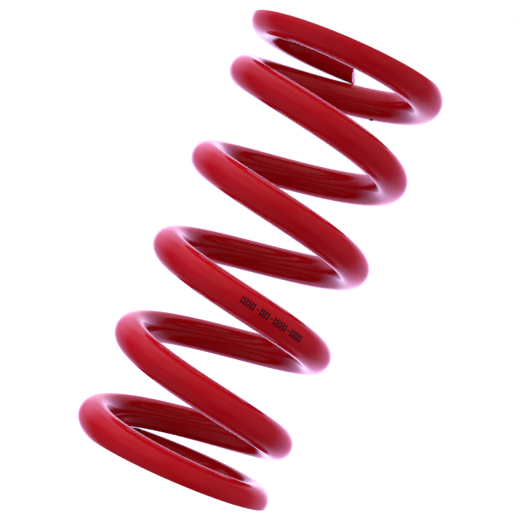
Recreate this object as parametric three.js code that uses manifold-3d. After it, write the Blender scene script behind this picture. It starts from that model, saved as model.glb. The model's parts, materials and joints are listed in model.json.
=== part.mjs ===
// A left-hand compression spring for a coil-over shock absorber.
// Units are millimetres, +Z runs up the coil axis, and the origin is the centre of the lower ground face.
//
// The spring is one round wire. Under load the two end coils stay flat on their seats and every length of
// wire between them twists about its own centre line. The wire is therefore divided at evenly spaced
// sections into rigid arcs, each a solid of its own, and neighbouring arcs turn about the wire's centre line.

import * as THREE from 'three';
import { mergeVertices } from 'three/addons/utils/BufferGeometryUtils.js';
import Module from 'manifold-3d';

// Driving dimensions, lengths in millimetres and distances along the wire in turns
const FREE_LENGTH = 141;
const MEAN_DIAMETER = 56;
const WIRE_DIAMETER = 10.3;
const TOTAL_TURNS = 6.1;
const MID_AZIMUTH = Math.PI / 2;

const ACTIVE_TURNS = 4;
const ARCS_PER_TURN = 8;

// The end coils: how far the wire's centre lies outside the ground face at the tip, how far the tip
// stays clear of the coil that closes onto it, and where the pitch starts to open and is fully open
const TIP_SINK = 0.55;
const TIP_CLEARANCE = 0.3;
const PITCH_OPENS = 0.37;
const PITCH_OPEN = 1.18;

const JOINT_GAP = 0.3;
const WIRE_SIDES = 16;
const STEPS_PER_ARC = 4;

const meanRadius = MEAN_DIAMETER / 2;
const wireRadius = WIRE_DIAMETER / 2;
const midTurn = TOTAL_TURNS / 2;
const endCoilTurns = (TOTAL_TURNS - ACTIVE_TURNS) / 2;
const gapTurns = JOINT_GAP / (Math.PI * MEAN_DIAMETER);

const coatMaterial = new THREE.MeshStandardMaterial({ color: 0xa5141e, roughness: 0.25, metalness: 0.0 });

// The integral of a smooth step from 0 to 1 over the stretch where the pitch opens
function openedTurns(turn) {
  const stretch = PITCH_OPEN - PITCH_OPENS;
  const t = Math.max((turn - PITCH_OPENS) / stretch, 0);
  const area = t < 1 ? t ** 3 - t ** 4 / 2 : t - 0.5;
  return stretch * area;
}

// The closed pitch holds the tip clear of the coil above it, and the pitch added in the active coils
// carries the wire to half the free length at its middle turn
const closedRise = WIRE_DIAMETER + TIP_CLEARANCE;
const addedPitch = (FREE_LENGTH / 2 + TIP_SINK - closedRise * midTurn)
  / (openedTurns(midTurn) - openedTurns(1) * midTurn);
const closedPitch = closedRise - addedPitch * openedTurns(1);

// The height of the wire's centre at a distance along the wire, the same seen from either end
function centreHeight(turn) {
  const fromTip = Math.min(turn, TOTAL_TURNS - turn);
  const height = closedPitch * fromTip + addedPitch * openedTurns(fromTip) - TIP_SINK;
  return turn <= midTurn ? height : FREE_LENGTH - height;
}

function centrePoint(turn, target = new THREE.Vector3()) {
  const azimuth = MID_AZIMUTH + (midTurn - turn) * 2 * Math.PI;
  return target.set(meanRadius * Math.cos(azimuth), meanRadius * Math.sin(azimuth), centreHeight(turn));
}

// A stretch of the wire's centre line. Its sections are evenly spaced in turns, and each one has its
// first axis pointing straight out from the coil axis.
class WireStretch extends THREE.Curve {
  constructor(fromTurn, toTurn) {
    super();
    this.fromTurn = fromTurn;
    this.toTurn = toTurn;
  }

  getPoint(t, target) {
    return centrePoint(THREE.MathUtils.lerp(this.fromTurn, this.toTurn, t), target);
  }

  getPointAt(t, target) {
    return this.getPoint(t, target);
  }

  computeFrenetFrames(segments) {
    const frames = { tangents: [], normals: [], binormals: [] };
    for (let i = 0; i <= segments; i += 1) {
      const tangent = this.getTangent(i / segments);
      const outward = this.getPoint(i / segments).setZ(0).normalize();
      frames.tangents.push(tangent);
      frames.normals.push(outward);
      frames.binormals.push(new THREE.Vector3().crossVectors(tangent, outward).normalize());
    }
    return frames;
  }
}

function wireGeometry(fromTurn, toTurn, steps) {
  const section = new THREE.Shape();
  section.absarc(0, 0, wireRadius, 0, 2 * Math.PI);
  return new THREE.ExtrudeGeometry(section, {
    steps,
    curveSegments: WIRE_SIDES / 2,
    extrudePath: new WireStretch(fromTurn, toTurn),
  });
}

const wasm = await Module();
wasm.setup();

function toSolid(geometry) {
  const bare = geometry.clone();
  bare.deleteAttribute('normal');
  bare.deleteAttribute('uv');
  const merged = mergeVertices(bare, 1e-4);
  return new wasm.Manifold(new wasm.Mesh({
    numProp: 3,
    vertProperties: new Float32Array(merged.attributes.position.array),
    triVerts: new Uint32Array(merged.index.array),
  }));
}

function toGeometry(solid) {
  const { vertProperties, triVerts } = solid.getMesh();
  const geometry = new THREE.BufferGeometry();
  geometry.setAttribute('position', new THREE.BufferAttribute(vertProperties, 3));
  geometry.setIndex(new THREE.BufferAttribute(triVerts, 1));
  geometry.computeVertexNormals();
  return geometry;
}

// What the grinding wheel takes away below a flat face at this height
function groundAway(faceHeight, side) {
  const width = 2 * MEAN_DIAMETER;
  const depth = 2 * WIRE_DIAMETER;
  const block = new THREE.BoxGeometry(width, width, depth);
  block.translate(0, 0, faceHeight + side * depth / 2);
  return toSolid(block);
}

// The closed coil at one end, from its tip to the first joint, ground flat where it meets its seat
function endCoil(name, fromTurn, toTurn, faceHeight, side) {
  const steps = Math.round((toTurn - fromTurn) * ARCS_PER_TURN * STEPS_PER_ARC);
  const wire = toSolid(wireGeometry(fromTurn, toTurn, steps));
  const ground = wire.subtract(groundAway(faceHeight, side));
  const mesh = new THREE.Mesh(toGeometry(ground), coatMaterial);
  mesh.name = name;
  return mesh;
}

// One arc of an active turn, shorter than its share by half a joint gap at each end
function activeArc(turnIndex, arcIndex) {
  const start = endCoilTurns + turnIndex + arcIndex / ARCS_PER_TURN;
  const end = start + 1 / ARCS_PER_TURN;
  const geometry = wireGeometry(start + gapTurns / 2, end - gapTurns / 2, STEPS_PER_ARC);
  const mesh = new THREE.Mesh(geometry, coatMaterial);
  mesh.name = `turn_${turnIndex + 1}_arc_${arcIndex + 1}`;
  return mesh;
}

const spring = new THREE.Group();
const lowerJoint = endCoilTurns - gapTurns / 2;
const upperJoint = TOTAL_TURNS - lowerJoint;

spring.add(endCoil('lower_end_coil', 0, lowerJoint, 0, -1));
for (let turnIndex = 0; turnIndex < ACTIVE_TURNS; turnIndex += 1) {
  for (let arcIndex = 0; arcIndex < ARCS_PER_TURN; arcIndex += 1) {
    spring.add(activeArc(turnIndex, arcIndex));
  }
}
spring.add(endCoil('upper_end_coil', upperJoint, TOTAL_TURNS, FREE_LENGTH, 1));

export default spring;
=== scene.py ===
import json
import math

import bpy
import numpy as np
from mathutils import Matrix, Vector, noise


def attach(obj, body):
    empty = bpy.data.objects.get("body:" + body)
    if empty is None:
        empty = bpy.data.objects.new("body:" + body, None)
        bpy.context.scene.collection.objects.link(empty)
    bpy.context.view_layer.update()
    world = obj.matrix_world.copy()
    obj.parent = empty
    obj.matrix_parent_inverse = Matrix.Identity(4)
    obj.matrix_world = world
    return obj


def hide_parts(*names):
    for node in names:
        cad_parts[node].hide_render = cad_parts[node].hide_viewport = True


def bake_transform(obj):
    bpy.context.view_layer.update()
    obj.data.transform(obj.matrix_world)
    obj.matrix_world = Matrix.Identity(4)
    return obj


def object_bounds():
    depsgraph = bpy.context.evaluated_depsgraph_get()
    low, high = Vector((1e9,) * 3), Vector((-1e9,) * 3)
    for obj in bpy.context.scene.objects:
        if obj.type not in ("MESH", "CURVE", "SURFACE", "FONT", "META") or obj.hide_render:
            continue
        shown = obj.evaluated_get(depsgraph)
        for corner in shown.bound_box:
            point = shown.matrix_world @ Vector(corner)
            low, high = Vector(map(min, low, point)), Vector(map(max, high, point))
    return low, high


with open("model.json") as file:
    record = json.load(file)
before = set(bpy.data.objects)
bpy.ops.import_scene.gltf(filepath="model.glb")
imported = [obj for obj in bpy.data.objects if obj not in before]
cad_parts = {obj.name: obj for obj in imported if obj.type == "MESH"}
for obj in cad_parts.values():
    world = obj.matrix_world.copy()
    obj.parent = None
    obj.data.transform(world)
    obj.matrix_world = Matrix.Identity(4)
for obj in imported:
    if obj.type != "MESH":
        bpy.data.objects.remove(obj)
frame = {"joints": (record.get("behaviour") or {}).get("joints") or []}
cad_low, cad_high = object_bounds()

# The wire's centre line, as the CAD part draws it. Lengths are in metres, and distances along the
# wire are in turns from the lower tip.
TOTAL_TURNS = 6.1
ARCS_PER_TURN = 8
TIP_SINK = 0.00055
TIP_CLEARANCE = 0.0003
PITCH_OPENS = 0.37
PITCH_OPEN = 1.18
MID_AZIMUTH = math.pi / 2
SLOPE_STEP = 1e-4

LOWER_END = "lower_end_coil"
UPPER_END = "upper_end_coil"

hinges = [joint for joint in frame["joints"] if joint["type"] == "hinge"]
free_length = cad_high.z - cad_low.z
mean_radius = math.hypot(hinges[0]["pos_m"][0], hinges[0]["pos_m"][1])
wire_radius = cad_high.x - mean_radius
turn_length = 2 * math.pi * mean_radius
mid_turn = TOTAL_TURNS / 2
arc_turns = 1 / ARCS_PER_TURN
half_arc = arc_turns / 2
arc_count = len(hinges)
first_joint = (TOTAL_TURNS - arc_count * arc_turns) / 2
joints_at = [first_joint + k * arc_turns for k in range(arc_count + 1)]
bodies_in_order = [
    LOWER_END,
    *(f"turn_{k // ARCS_PER_TURN + 1}_arc_{k % ARCS_PER_TURN + 1}" for k in range(arc_count)),
    UPPER_END,
]
# The joint that the CAD leaves open, in the middle of the wire.
open_joint = arc_count // 2


def smooth_step(t):
    t = np.clip(t, 0.0, 1.0)
    return t * t * (3.0 - 2.0 * t)


def opened_turns(turn):
    """The integral of the smooth step over which the pitch opens."""
    stretch = PITCH_OPEN - PITCH_OPENS
    t = np.maximum((turn - PITCH_OPENS) / stretch, 0.0)
    return stretch * np.where(t < 1.0, t**3 - t**4 / 2.0, t - 0.5)


closed_rise = 2 * wire_radius + TIP_CLEARANCE
added_pitch = (free_length / 2 + TIP_SINK - closed_rise * mid_turn) / (
    opened_turns(mid_turn) - opened_turns(1.0) * mid_turn
)
closed_pitch = closed_rise - added_pitch * opened_turns(1.0)


def centre_height(turn):
    from_tip = np.minimum(turn, TOTAL_TURNS - turn)
    height = closed_pitch * from_tip + added_pitch * opened_turns(from_tip) - TIP_SINK
    return np.where(turn <= mid_turn, height, free_length - height)


def sections(turns):
    """The centre, tangent, outward and upward directions of the wire's section at each turn."""
    turns = np.asarray(turns, float)
    azimuth = MID_AZIMUTH + (mid_turn - turns) * 2 * math.pi
    flat = np.zeros_like(turns)
    outward = np.stack([np.cos(azimuth), np.sin(azimuth), flat], -1)
    centre = mean_radius * outward
    centre[:, 2] = centre_height(turns)
    rise = centre_height(turns + SLOPE_STEP) - centre_height(turns - SLOPE_STEP)
    slope = rise / (2 * SLOPE_STEP)
    tangent = np.stack([np.sin(azimuth), -np.cos(azimuth), slope / turn_length], -1)
    tangent /= np.linalg.norm(tangent, axis=1, keepdims=True)
    return centre, tangent, outward, np.cross(tangent, outward)


# How each section's vertices are spread. The ground face's two edges take the same vertices in
# every section, with more of them close by.
EVEN_SIDES = 60
EDGE_ANGLE = math.radians(60)
EDGE_SPREAD = math.radians(2.6)
EDGE_STEPS = 6
TOLERANCE = 1e-9


def vertex_angles():
    """A section's vertex angles, measured from straight down and growing outwards."""
    even = np.arange(EVEN_SIDES) * (2 * math.pi / EVEN_SIDES) - math.pi
    near = np.linspace(-EDGE_SPREAD, EDGE_SPREAD, EDGE_STEPS + 1)
    beside = [offset for offset in near if abs(offset) > TOLERANCE]
    extra = [side * (EDGE_ANGLE + offset) for side in (-1, 1) for offset in beside]
    return np.sort(np.concatenate([even, extra]))


ANGLES = vertex_angles()

# The ends are ground flat, so the sections near a tip lose the part that would be below the floor.
# Past the ground face, its edges' vertices spread back to where a round section has them.
SMALLEST_EDGE = math.radians(7)
ROUND_FROM = 0.95
GROUND_SEARCH_STEPS = 2000

# The tip's sheared face, with its edge rounded.
TIP_ROUNDING = 0.0003
TIP_ROUNDING_RINGS = 5
TIP_FACE_RINGS = 9
SMALLEST_FACE_RING = 0.06
# The marks on it are two noises: each one's scale across and up the face, its seed and its height.
SHEAR_MARKS = ((700, 350, 3.0, 0.00016), (2600, 1500, 8.0, 0.00006))

# The lower tip runs a little past the CAD's, in turns, and gets slimmer to clear the coil above.
LOWER_TIP_LENGTH = 0.018
LOWER_TIP_SLIMMING = 0.075

# The upper tip's face leans along the wire, more on the coil's outside. The wire leans with it over
# the last part of a turn.
LEAN_LENGTH = 0.03
LEAN_INSIDE = 0.0004
LEAN_OUTSIDE = 0.0028


def find_ground_end():
    """The turn at which the ground face runs out, counted from the tip."""
    turns = np.linspace(0.0, 1.0, GROUND_SEARCH_STEPS + 1)
    _, _, _, upward = sections(turns)
    clear = centre_height(turns) / upward[:, 2] - wire_radius
    return float(np.interp(0.0, clear, turns))


ground_end = find_ground_end()


def ground_section(turn, height, rise):
    """One section of the lower end: its vertices' distances outwards and downwards, and how much
    each is on the ground face. The height is its centre's, the rise its upward direction's."""
    cut = height / rise / wire_radius
    edge = math.acos(min(max(cut, -1.0), 1.0))
    shown = max(edge, SMALLEST_EDGE)
    if turn > ground_end:
        shown += (EDGE_ANGLE - shown) * smooth_step((turn - ground_end) / (ROUND_FROM - ground_end))
    width = shown * EDGE_SPREAD / EDGE_ANGLE
    size = np.abs(ANGLES)
    inner, outer = EDGE_ANGLE - EDGE_SPREAD, EDGE_ANGLE + EDGE_SPREAD
    moved = [0.0, shown - width, shown + width, math.pi]
    angle = np.interp(size, [0.0, inner, outer, math.pi], moved)
    out, down = np.sin(angle), np.cos(angle)
    flatness = np.where(down > cut, 1.0, 0.0)
    down = np.minimum(down, cut)
    if edge > SMALLEST_EDGE:
        flat = size <= inner + TOLERANCE
        corner = (size > inner + TOLERANCE) & (size < outer - TOLERANCE)
        t = (size[corner] - inner) / (outer - inner)
        start = np.array([math.sin(edge) - width, cut])
        middle = np.array([math.sin(edge), cut])
        end = np.array([math.sin(edge + width), math.cos(edge + width)])
        weights = (1 - t) ** 2, 2 * t * (1 - t), t**2
        curve = sum(weight[:, None] * point for weight, point in zip(weights, (start, middle, end)))
        out[flat] = size[flat] / inner * start[0]
        out[corner], down[corner] = curve[:, 0], curve[:, 1]
        flatness = np.where(flat, 1.0, 0.0)
        flatness[corner] = 1.0 - t
    return np.sign(ANGLES) * out * wire_radius, down * wire_radius, flatness


def sheared_lean(out, height):
    """How far the leaning tip's face runs on at a place this far out and above the ground face."""
    outside = 0.5 + 0.5 * out / wire_radius
    return (LEAN_INSIDE + (LEAN_OUTSIDE - LEAN_INSIDE) * outside) * height / wire_radius


def shear_mark(place):
    """How far the sheared face stands out at a place on it."""
    return sum(
        height * noise.noise(Vector((place[0] * across, place[1] * up, seed)))
        for across, up, seed, height in SHEAR_MARKS
    )


def tip_face(place, centre, outward, upward, tangent, leaning):
    """The tip's face, as rings of vertices and places from its middle to its rounded edge."""
    middle_up = (place[:, 1].max() + place[:, 1].min()) / 2
    middle_place = np.array([0.0, middle_up, place[0, 2]])
    middle = centre + middle_up * upward
    offset = place - middle_place
    reach = np.linalg.norm(offset[:, :2], axis=1)
    quarter = np.linspace(0.0, math.pi / 2, TIP_ROUNDING_RINGS)[1:]
    shares = np.linspace(1.0, SMALLEST_FACE_RING, TIP_FACE_RINGS + 1)[1:]
    insets = [(TIP_ROUNDING * (1 - math.cos(a)), TIP_ROUNDING * math.sin(a), 1.0) for a in quarter]
    insets += [(TIP_ROUNDING, TIP_ROUNDING, share) for share in shares]
    rings, ring_places = [], []
    for inset, rise, share in insets:
        flat_place = middle_place + offset * (share * (1 - inset / reach)[:, None])
        marks = np.array([shear_mark(p) for p in flat_place]) * smooth_step(rise / TIP_ROUNDING)
        ring = middle + flat_place[:, :1] * outward + (flat_place[:, 1:2] - middle_up) * upward
        lean = leaning * sheared_lean(flat_place[:, 0], ring[:, 2])
        ring = ring - (rise + marks + lean)[:, None] * tangent
        ring[:, 2] = np.maximum(ring[:, 2], 0.0)
        rings.append(ring)
        ring_places.append(flat_place - np.array([0.0, 0.0, 1.0]) * rise)
    return rings[::-1], ring_places[::-1]


def lower_end_rings(turns, leaning=0.0):
    """The lower end's vertices, normals and places on the straight wire, ring by ring, from the
    middle of the tip's face. Leaning is 0 for a square face and 1 for one that leans."""
    centre, tangent, outward, upward = sections(turns)
    points, normals, places = [], [], []
    for i, turn in enumerate(turns):
        floor_down = centre[i, 2] / upward[i, 2]
        out, down, flatness = ground_section(turn, centre[i, 2], upward[i, 2])
        spread = np.arctan2(out, down)
        slimness = 1 - LOWER_TIP_SLIMMING * smooth_step(-turn / LOWER_TIP_LENGTH)
        out, down = out * slimness, np.minimum(down * slimness, floor_down)
        normal = np.sin(spread)[:, None] * outward[i] - np.cos(spread)[:, None] * upward[i]
        ground_normal = flatness[:, None] * np.array([0.0, 0.0, -1.0])
        normal = normal * (1 - flatness)[:, None] + ground_normal
        lean = sheared_lean(out, centre[i, 2] - down * upward[i, 2])
        lean = leaning * smooth_step(1 - turn / LEAN_LENGTH) * lean
        section = centre[i] + out[:, None] * outward[i] - down[:, None] * upward[i]
        points.append(section - lean[:, None] * tangent[i])
        normals.append(normal / np.linalg.norm(normal, axis=1, keepdims=True))
        places.append(np.stack([out, -down, np.full_like(out, turn * turn_length)], -1))
    face_points, face_places = tip_face(
        places[0], centre[0], outward[0], upward[0], tangent[0], leaning
    )
    face_normals = [np.zeros_like(normals[0])] * len(face_points)
    rings = (face_points + points, face_normals + normals, face_places + places)
    return tuple(np.array(part) for part in rings)


def add_object(name, data):
    thing = bpy.data.objects.new(name, data)
    bpy.context.scene.collection.objects.link(thing)
    return thing


def make_piece(name, points, normals, places):
    """A closed mesh from rings of vertices. A zero normal leaves that corner to Blender. The places
    are kept for the coat's pattern, which follows the wire."""
    ring_count, side_count = points.shape[:2]
    index = np.arange(ring_count * side_count).reshape(ring_count, side_count)
    beside = np.roll(index, -1, axis=1)
    quads = np.stack([index[:-1], beside[:-1], beside[1:], index[1:]], -1).reshape(-1, 4)
    caps = [index[0][::-1].tolist(), index[-1].tolist()]
    mesh = bpy.data.meshes.new(name)
    mesh.from_pydata(points.reshape(-1, 3).tolist(), [], quads.tolist() + caps)
    mesh.polygons.foreach_set("use_smooth", [True] * len(quads) + [False, False])
    cap_corners = np.zeros((2 * side_count, 3))
    corners = np.concatenate([normals.reshape(-1, 3)[quads.ravel()], cap_corners])
    mesh.normals_split_custom_set(corners.tolist())
    attribute = mesh.attributes.new("wire_place", "FLOAT_VECTOR", "POINT")
    attribute.data.foreach_set("vector", places.reshape(-1, 3).astype(np.float32).ravel())
    mesh.update()
    return add_object(name, mesh)


RINGS_PER_ARC = 24


def make_arc(name, start, end):
    """A length of whole round wire."""
    ring_steps = max(2, round((end - start) * ARCS_PER_TURN * RINGS_PER_ARC))
    turns = np.linspace(start, end, ring_steps + 1)
    centre, _, outward, upward = sections(turns)
    sine, cosine = np.sin(ANGLES), np.cos(ANGLES)
    normals = sine[:, None] * outward[:, None] - cosine[:, None] * upward[:, None]
    points = centre[:, None] + wire_radius * normals
    across = np.broadcast_to(wire_radius * sine, points.shape[:2])
    up = np.broadcast_to(-wire_radius * cosine, points.shape[:2])
    along = np.broadcast_to((turns * turn_length)[:, None], points.shape[:2])
    return make_piece(name, points, normals, np.stack([across, up, along], -1))


def blend_along(piece, start, end):
    first, last = sections([start, end])[0]
    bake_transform(piece)


GROUND_RINGS = 150
RINGS_PAST_GROUND = 34
LOWER_TIP_RINGS = 20
end_turns = np.concatenate([
    np.linspace(0.0, ground_end, GROUND_RINGS, endpoint=False),
    np.linspace(ground_end, joints_at[0] - half_arc, RINGS_PAST_GROUND),
])


def make_lower_end():
    tip = np.linspace(-LOWER_TIP_LENGTH, 0.0, LOWER_TIP_RINGS, endpoint=False)
    lower = make_piece("wire_lower_end", *lower_end_rings(np.concatenate([tip, end_turns])))
    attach(lower, LOWER_END)
    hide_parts(LOWER_END)
    return lower


def make_upper_end():
    """The lower end turned over, with a leaning tip."""
    turn_over = np.array([-1.0, 1.0, -1.0])
    points, normals, places = lower_end_rings(end_turns, leaning=1.0)
    points = points * turn_over + np.array([0.0, 0.0, free_length])
    wire_end = np.array([0.0, 0.0, TOTAL_TURNS * turn_length])
    places = places * np.array([1.0, -1.0, -1.0]) + wire_end
    upper = make_piece("wire_upper_end", points, normals * turn_over, places)
    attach(upper, UPPER_END)
    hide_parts(UPPER_END)
    return upper


def make_wire():
    """The whole wire as closed pieces that meet face to face. The two ends and the two halves at
    the open joint follow their own bodies.
    """
    pieces = [make_lower_end()]
    for k, joint_at in enumerate(joints_at):
        body_a, body_b = bodies_in_order[k], bodies_in_order[k + 1]
        start, end = joint_at - half_arc, joint_at + half_arc
        if k == open_joint:
            for name, body, from_turn, to_turn in (
                ("wire_middle_lower", body_a, start, joint_at),
                ("wire_middle_upper", body_b, joint_at, end),
            ):
                piece = make_arc(name, from_turn, to_turn)
                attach(piece, body)
                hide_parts(body)
                pieces.append(piece)
            continue
        piece = make_arc(f"wire_joint_{k + 1}", start, end)
        blend_along(piece, start, end)
        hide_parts(body_b if k < open_joint else body_a)
        pieces.append(piece)
    return pieces + [make_upper_end()]


# The printed mark is a row of small plain ladders, with a dash between groups of them. It runs from
# one turn to another, at angles from straight outwards towards the top.
MARK_START, MARK_END = 2.586, 2.474
MARK_START_ANGLE, MARK_END_ANGLE = 0.14, -0.03
MARK_GROUPS = (3, 2, 3, 3)
BAR_SPREAD = 0.29
BAR_HEIGHT = 0.0025
BAR_WIDTH = 0.00034
BAR_STEPS = 10
RUNG_LIFTS = (-0.26, 0.26)
RUNG_HEIGHT = 0.00036
RUNG_STEPS = 2
STROKE_COLUMNS = 4
DASH_SHARE = 0.6
INK_PROUD = 0.00003
INK_DEPTH = 0.00006


def mark_strokes():
    """The mark's strokes: each one's centre along the mark from 0 to 1, lift, width and height. The
    last three are in metres."""
    cells = sum(MARK_GROUPS) + len(MARK_GROUPS) - 1
    cell_length = abs(MARK_END - MARK_START) * turn_length / cells
    rung_width = 2 * BAR_SPREAD * cell_length - BAR_WIDTH
    cell = 0
    for group, ladders in enumerate(MARK_GROUPS):
        for _ in range(ladders):
            for side in (-1, 1):
                yield (cell + 0.5 + side * BAR_SPREAD) / cells, 0.0, BAR_WIDTH, BAR_HEIGHT
            for lift in RUNG_LIFTS:
                yield (cell + 0.5) / cells, lift * BAR_HEIGHT, rung_width, RUNG_HEIGHT
            cell += 1
        if group < len(MARK_GROUPS) - 1:
            yield (cell + 0.5) / cells, 0.0, DASH_SHARE * cell_length, RUNG_HEIGHT
            cell += 1


def stroke_mesh(share, lift, width, height):
    """One stroke's turn, vertices and faces: a thin closed block that lies on the wire."""
    turn = MARK_START + (MARK_END - MARK_START) * share
    angle = MARK_START_ANGLE + (MARK_END_ANGLE - MARK_START_ANGLE) * share + lift / wire_radius
    turns = turn + np.linspace(-0.5, 0.5, STROKE_COLUMNS) * width / turn_length
    steps = BAR_STEPS if height > RUNG_HEIGHT else RUNG_STEPS
    angles = angle + np.linspace(-0.5, 0.5, steps + 1) * height / wire_radius
    centre, _, outward, upward = sections(turns)
    cosine, sine = np.cos(angles)[:, None], np.sin(angles)[:, None]
    normal = cosine * outward[:, None] + sine * upward[:, None]
    top = centre[:, None] + (wire_radius + INK_PROUD) * normal
    bottom = centre[:, None] + (wire_radius - INK_DEPTH) * normal
    rows, columns = top.shape[:2]
    upper = np.arange(rows * columns).reshape(rows, columns)
    lower = upper + rows * columns
    cells = [(i, j) for i in range(rows - 1) for j in range(columns - 1)]
    faces = [
        (upper[i, j], upper[i + 1, j], upper[i + 1, j + 1], upper[i, j + 1]) for i, j in cells
    ]
    faces += [
        (lower[i, j], lower[i, j + 1], lower[i + 1, j + 1], lower[i + 1, j]) for i, j in cells
    ]
    rim = [(i, 0) for i in range(rows)]
    rim += [(rows - 1, j) for j in range(1, columns)]
    rim += [(i, columns - 1) for i in range(rows - 2, -1, -1)]
    rim += [(0, j) for j in range(columns - 2, 0, -1)]
    faces += [(lower[a], lower[b], upper[b], upper[a]) for a, b in zip(rim, rim[1:] + rim[:1])]
    points = np.concatenate([top.reshape(-1, 3), bottom.reshape(-1, 3)])
    return turn, points, [tuple(int(v) for v in face) for face in faces]


def make_marks():
    """The mark's strokes, gathered into one piece for each joint's length of wire under them."""
    strokes = {}
    for stroke in mark_strokes():
        turn, points, faces = stroke_mesh(*stroke)
        joint = round((turn - first_joint) / arc_turns)
        strokes.setdefault(joint, []).append((points, faces))
    marks = []
    for joint, found in sorted(strokes.items()):
        vertices, faces = [], []
        for points, stroke_faces in found:
            faces += [tuple(v + len(vertices) for v in face) for face in stroke_faces]
            vertices += points.tolist()
        mesh = bpy.data.meshes.new(f"mark_{joint + 1}")
        mesh.from_pydata(vertices, [], faces)
        mesh.update()
        mark = add_object(mesh.name, mesh)
        start, end = joints_at[joint] - half_arc, joints_at[joint] + half_arc
        blend_along(mark, start, end)
        marks.append(mark)
    return marks


# A nib of coat under the back of the upper end, at an angle from straight outwards towards the top.
# Its size is three half-widths: along the wire, out of it and round it.
NIB_AT = 5.170
NIB_ANGLE = math.radians(-97)
NIB_SIZE = (0.00065, 0.00042, 0.00045)


def make_nib():
    centre, tangent, outward, upward = (Vector(rows[0]) for rows in sections([NIB_AT]))
    normal = outward * math.cos(NIB_ANGLE) + upward * math.sin(NIB_ANGLE)
    bpy.ops.mesh.primitive_uv_sphere_add(segments=24, ring_count=12, radius=1.0)
    nib = bpy.context.object
    nib.name = "coat_nib"
    bpy.ops.object.shade_smooth()
    moved = Matrix.Translation(centre + normal * wire_radius)
    turned = Matrix((tangent, normal, tangent.cross(normal))).transposed().to_4x4()
    nib.matrix_world = moved @ turned @ Matrix.Diagonal((*NIB_SIZE, 1.0))
    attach(nib, UPPER_END)
    return nib


# A noise's values are mostly between these.
NOISE_LOW, NOISE_HIGH = 0.3, 0.7


class Nodes:
    """A few shortcuts for building a node tree."""

    def __init__(self, tree):
        self.tree = tree
        tree.nodes.clear()

    def add(self, kind, inputs=None, **settings):
        node = self.tree.nodes.new(kind)
        for name, value in settings.items():
            setattr(node, name, value)
        for name, value in (inputs or {}).items():
            if isinstance(value, bpy.types.NodeSocket):
                self.tree.links.new(value, node.inputs[name])
            else:
                node.inputs[name].default_value = value
        return node

    def noise(self, vector, scale, detail=2.0):
        inputs = {"Vector": vector, "Scale": scale, "Detail": detail, "Roughness": 0.5}
        return self.add("ShaderNodeTexNoise", inputs).outputs[0]

    def ranged(self, value, low, high):
        """A noise's value, spread from low to high."""
        inputs = {"Value": value, "From Min": NOISE_LOW, "From Max": NOISE_HIGH}
        inputs.update({"To Min": low, "To Max": high})
        return self.add("ShaderNodeMapRange", inputs).outputs[0]

    def smooth_step(self, value, low, high):
        """A smooth step from 0, where the value is low, to 1, where it is high."""
        inputs = {"Value": value, "From Min": low, "From Max": high}
        return self.add("ShaderNodeMapRange", inputs, interpolation_type="SMOOTHSTEP").outputs[0]

    def mixed(self, factor, first, second):
        """A colour from first to second. The colour sockets have no names of their own."""
        inputs = {"Factor": factor, 6: first, 7: second}
        return self.add("ShaderNodeMix", inputs, data_type="RGBA").outputs[2]

    def surface(self, inputs):
        """The Principled shader, as the material's surface."""
        shader = self.add("ShaderNodeBsdfPrincipled", inputs)
        self.add("ShaderNodeOutputMaterial", {"Surface": shader.outputs[0]})


def new_material(name):
    material = bpy.data.materials.new(name)
    material.use_nodes = True
    return material, Nodes(material.node_tree)


# The coat's colours: deep and bright patches on the coil's outside, and a darker red on its inside,
# which is painted shade for the less lit inside of the coil. One changes to the other between two
# distances out from the wire's centre, in wire radii.
COAT_DEEP = (0.56, 0.004, 0.010, 1.0)
COAT_BRIGHT = (0.64, 0.006, 0.014, 1.0)
COAT_INSIDE_PAINTED_SHADE = (0.41, 0.002, 0.005, 1.0)
PAINTED_SHADE_FULL_TO = -0.7
PAINTED_SHADE_GONE_FROM = 0.3
PATCH_SCALE = 45.0
PATCH_DETAIL = 3.0
COAT_ROUGHNESS = 0.13
COAT_ROUGHNESS_SPREAD = 0.02
COAT_SPECULAR = 0.15

# The coat's relief, from the bottom up: its noise's scale along the wire, scale and detail, and its
# bump's strength and height in metres.
DRAWN_LINES = "drawn_lines"
COAT_RELIEF = {
    "orange_peel": (1.0, 1100.0, 1.0, 0.5, 0.000012),
    DRAWN_LINES: (0.03, 480.0, 3.0, 0.5, 0.000028),
    "broad_lines": (0.25, 160.0, 2.0, 0.5, 0.00010),
    "grain": (1.0, 6000.0, 1.0, 0.3, 0.000002),
}

NIB_COLOUR = (0.16, 0.004, 0.012, 1.0)
NIB_ROUGHNESS = 0.3

INK_BLACK = (0.020, 0.003, 0.006, 1.0)
INK_WORN = (0.08, 0.004, 0.010, 1.0)
INK_GLOSS, INK_MATT = 0.35, 0.5
INK_SPECULAR = 0.1
INK_WEAR_SCALE = 2500.0


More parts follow.
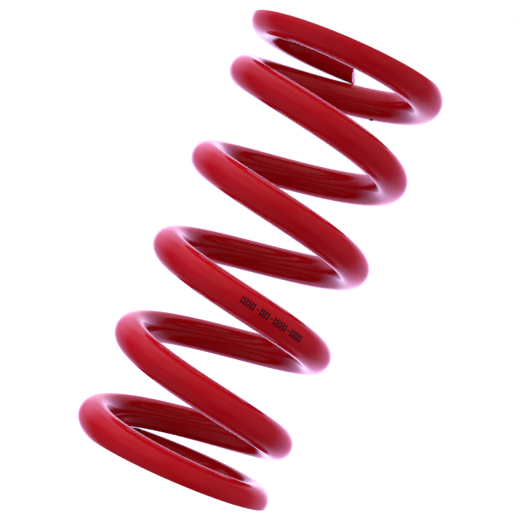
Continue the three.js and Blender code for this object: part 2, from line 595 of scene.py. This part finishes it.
def make_coat():
    """Gloss powder coat: deep red, with orange peel, and the drawn wire's lines under it. Its
    darker red on the coil's inside is painted shade.
    """
    material, nodes = new_material("red_powder_coat_with_painted_shade")
    place = nodes.add("ShaderNodeAttribute", attribute_name="wire_place").outputs["Vector"]
    shade = nodes.ranged(nodes.noise(place, PATCH_SCALE, PATCH_DETAIL), 0.0, 1.0)
    outer = nodes.mixed(shade, COAT_DEEP, COAT_BRIGHT)
    across = nodes.add("ShaderNodeSeparateXYZ", {"Vector": place}).outputs["X"]
    # Painted shade: towards the coil's inside the base colour turns to a darker red that stands in
    # for the shade between the coils.
    outside = nodes.smooth_step(across, PAINTED_SHADE_FULL_TO * wire_radius, PAINTED_SHADE_GONE_FROM * wire_radius)
    heights, bump = {}, {}
    for name, (along, scale, detail, strength, distance) in COAT_RELIEF.items():
        stretched = nodes.add("ShaderNodeMapping", {"Vector": place, "Scale": (1.0, 1.0, along)})
        heights[name] = nodes.noise(stretched.outputs[0], scale, detail)
        inputs = {"Strength": strength, "Distance": distance, "Height": heights[name], **bump}
        bump = {"Normal": nodes.add("ShaderNodeBump", inputs, name=name).outputs[0]}
    low, high = COAT_ROUGHNESS - COAT_ROUGHNESS_SPREAD, COAT_ROUGHNESS + COAT_ROUGHNESS_SPREAD
    nodes.surface({
        "Base Color": nodes.mixed(outside, COAT_INSIDE_PAINTED_SHADE, outer),
        "Roughness": nodes.ranged(heights[DRAWN_LINES], low, high),
        "IOR": 1.5,
        "Specular IOR Level": COAT_SPECULAR,
        **bump,
    })
    return material


def make_nib_coat():
    """Coat for the nib, a darker red than the rest."""
    material, nodes = new_material("dark_coat_nib")
    nodes.surface({
        "Base Color": NIB_COLOUR,
        "Roughness": NIB_ROUGHNESS,
        "Specular IOR Level": COAT_SPECULAR,
    })
    return material


def make_ink():
    """Black marking ink, thin enough in places for a little of the red to show."""
    material, nodes = new_material("marking_ink")
    place = nodes.add("ShaderNodeTexCoord").outputs["Object"]
    worn = nodes.ranged(nodes.noise(place, INK_WEAR_SCALE), 0.0, 1.0)
    nodes.surface({
        "Base Color": nodes.mixed(worn, INK_BLACK, INK_WORN),
        "Roughness": nodes.ranged(worn, INK_GLOSS, INK_MATT),
        "Specular IOR Level": INK_SPECULAR,
    })
    return material


def make_floor_white():
    """Plain white, with a light of its own so that it is white all over."""
    material, nodes = new_material("floor_white")
    nodes.surface({
        "Base Color": (0.4, 0.4, 0.4, 1.0),
        "Roughness": 0.9,
        "Specular IOR Level": 0.0,
        "Emission Color": (1.0, 1.0, 1.0, 1.0),
        "Emission Strength": 0.9,
    })
    return material


UP = Vector((0.0, 0.0, 1.0))
CAMERA_AZIMUTH = math.radians(-101.86)
CAMERA_DISTANCE = 0.5345
CAMERA_HEIGHT = 0.06275
CAMERA_PITCH = math.radians(0.84)
CAMERA_ROLL = math.radians(23.78)
CAMERA_LENS = 118.0
CAMERA_SENSOR = 36.0

# The studio's lights, all round the object: the direction, as azimuth and elevation, the angles
# from it at which the light starts to fade and ends, and the colour. Azimuth 0 is behind the object
# as the camera sees it, and 90 is to the camera's right. Angles are in degrees.
STUDIO_LIGHTS = {
    "above": ((0, 90), 5, 50, (0.65, 0.55, 0.65)),
    "front_left_above": ((-128, 42), 5, 50, (1.00, 0.85, 1.00)),
    "left_behind_above": ((-58, 42), 5, 45, (1.25, 0.82, 1.40)),
    "behind_above": ((8, 42), 5, 48, (1.10, 0.62, 1.10)),
    "left": ((-115, 0), 5, 48, (0.55, 0.32, 0.55)),
    "behind_left": ((-34, 0), 5, 45, (1.25, 0.70, 1.45)),
    "behind": ((0, 0), 5, 34, (0.60, 0.80, 0.90)),
    "behind_right": ((34, -4), 5, 48, (1.40, 0.78, 1.60)),
    "right": ((75, 0), 5, 45, (0.25, 0.12, 0.22)),
    "right_front_above": ((118, 25), 5, 58, (0.65, 0.50, 0.65)),
    "front": ((178, 10), 5, 50, (0.33, 0.30, 0.33)),
    "left_behind_below": ((-60, -48), 5, 45, (0.40, 0.22, 0.40)),
    "behind_below": ((8, -45), 5, 48, (1.35, 0.75, 1.45)),
    "front_left_below": ((-138, -45), 5, 48, (0.50, 0.40, 0.50)),
    "right_below": ((95, -45), 5, 50, (0.33, 0.22, 0.33)),
}
SEEN_BACKGROUND = (1.0, 1.0, 1.0, 1.0)
FLOOR_RADIUS = 1.5
FLOOR_HEIGHT = -0.00002

towards_camera = Vector((math.cos(CAMERA_AZIMUTH), math.sin(CAMERA_AZIMUTH), 0.0))
away = -towards_camera
camera_right = away.cross(UP)


def make_camera():
    forward = away * math.cos(CAMERA_PITCH) + UP * math.sin(CAMERA_PITCH)
    level_top = camera_right.cross(forward)
    right = camera_right * math.cos(CAMERA_ROLL) + level_top * math.sin(CAMERA_ROLL)
    top = level_top * math.cos(CAMERA_ROLL) - camera_right * math.sin(CAMERA_ROLL)
    data = bpy.data.cameras.new("camera")
    data.lens = CAMERA_LENS
    data.sensor_width = CAMERA_SENSOR
    camera = add_object("camera", data)
    matrix = Matrix((right, top, -forward)).transposed().to_4x4()
    matrix.translation = towards_camera * CAMERA_DISTANCE + UP * CAMERA_HEIGHT
    camera.matrix_world = matrix
    bpy.context.scene.camera = camera


def make_studio():
    """A world that lights the object with the studio's lights, and looks plain white itself."""
    world = bpy.data.worlds.new("studio")
    bpy.context.scene.world = world
    world.use_nodes = True
    nodes = Nodes(world.node_tree)
    direction = nodes.add("ShaderNodeTexCoord").outputs["Generated"]
    total = None
    for name, ((azimuth, elevation), inner, outer, colour) in STUDIO_LIGHTS.items():
        a, e = math.radians(azimuth), math.radians(elevation)
        level = away * math.cos(a) + camera_right * math.sin(a)
        towards = level * math.cos(e) + UP * math.sin(e)
        dot = nodes.add("ShaderNodeVectorMath", {0: direction, 1: towards}, operation="DOT_PRODUCT")
        fade_end, fade_start = math.cos(math.radians(outer)), math.cos(math.radians(inner))
        share = nodes.smooth_step(dot.outputs["Value"], fade_end, fade_start)
        inputs = {0: colour, "Scale": share}
        lit = nodes.add("ShaderNodeVectorMath", inputs, operation="SCALE", name=name).outputs[0]
        if total is not None:
            lit = nodes.add("ShaderNodeVectorMath", {0: total, 1: lit}).outputs[0]
        total = lit
    studio = nodes.add("ShaderNodeBackground", {"Color": total})
    seen = nodes.add("ShaderNodeBackground", {"Color": SEEN_BACKGROUND})
    camera_ray = nodes.add("ShaderNodeLightPath").outputs["Is Camera Ray"]
    inputs = {0: camera_ray, 1: studio.outputs[0], 2: seen.outputs[0]}
    mixed = nodes.add("ShaderNodeMixShader", inputs)
    nodes.add("ShaderNodeOutputWorld", {"Surface": mixed.outputs[0]})


def make_floor():
    """A white floor, which neither lights the object nor shows in its gloss."""
    bpy.ops.mesh.primitive_circle_add(
        vertices=96, radius=FLOOR_RADIUS, fill_type="NGON", location=(0, 0, FLOOR_HEIGHT)
    )
    floor = bpy.context.object
    floor.name = "floor"
    floor.data.materials.append(make_floor_white())
    floor.visible_diffuse = False
    floor.visible_glossy = False


coat = make_coat()
for piece in make_wire():
    piece.data.materials.append(coat)
nib = make_nib()
nib.data.materials.append(make_nib_coat())
ink = make_ink()
for piece in make_marks():
    piece.data.materials.append(ink)
make_camera()
make_studio()
make_floor()
bpy.context.scene.view_settings.view_transform = "Standard"
